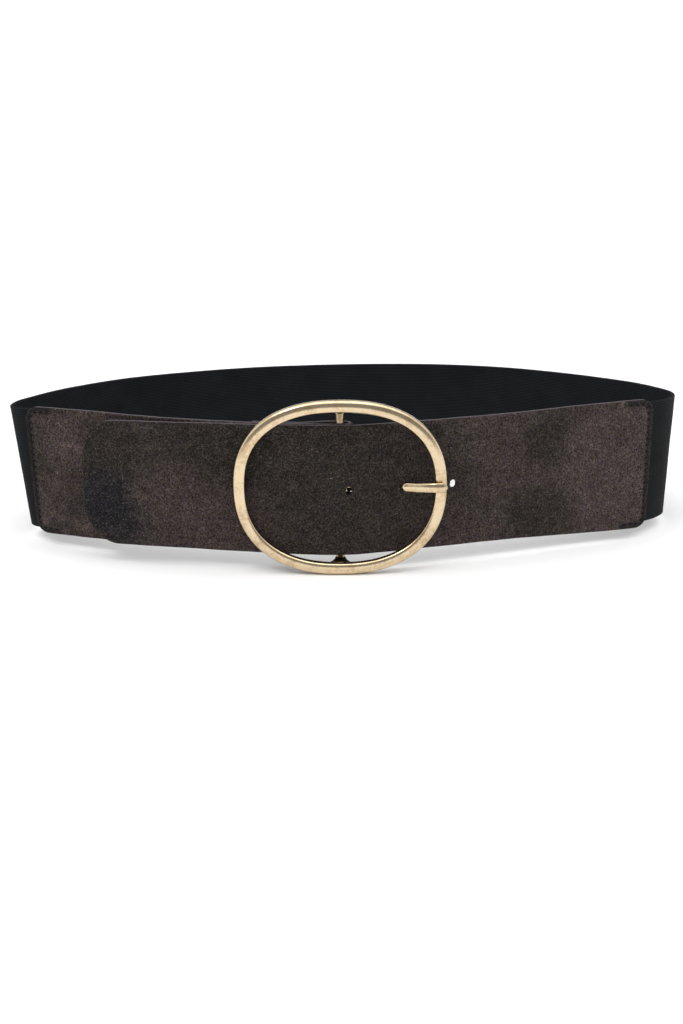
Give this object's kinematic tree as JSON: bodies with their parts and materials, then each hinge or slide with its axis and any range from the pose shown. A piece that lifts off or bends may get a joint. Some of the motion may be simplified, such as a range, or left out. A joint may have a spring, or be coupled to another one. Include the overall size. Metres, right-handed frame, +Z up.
{
  "type": "elastic stretch belt",
  "caption": "Wide elastic waist belt with suede-look front panels, fastened in a loop by an oval ring buckle with a bar and prong.",
  "frame": {"origin": "middle of the belt's box, on the surface it stands on", "axes": "+Z up, -Y towards the front where the buckle is, +X to the right as seen from the front"},
  "size_m": [0.3208, 0.1448, 0.0819],
  "materials": {
    "suede": "dark brown brushed suede look with a fine metallic glitter",
    "elastic": "black lengthwise-ribbed woven elastic",
    "gold_metal": "pale gold plating, satin with a brushed, slightly mottled face"
  },
  "bodies": {
    "root": {"strap_panel": "suede", "buckle_panel": "suede", "elastic_band": "elastic", "buckle_frame": "gold_metal", "prong": "gold_metal"}
  },
  "joints": []
}
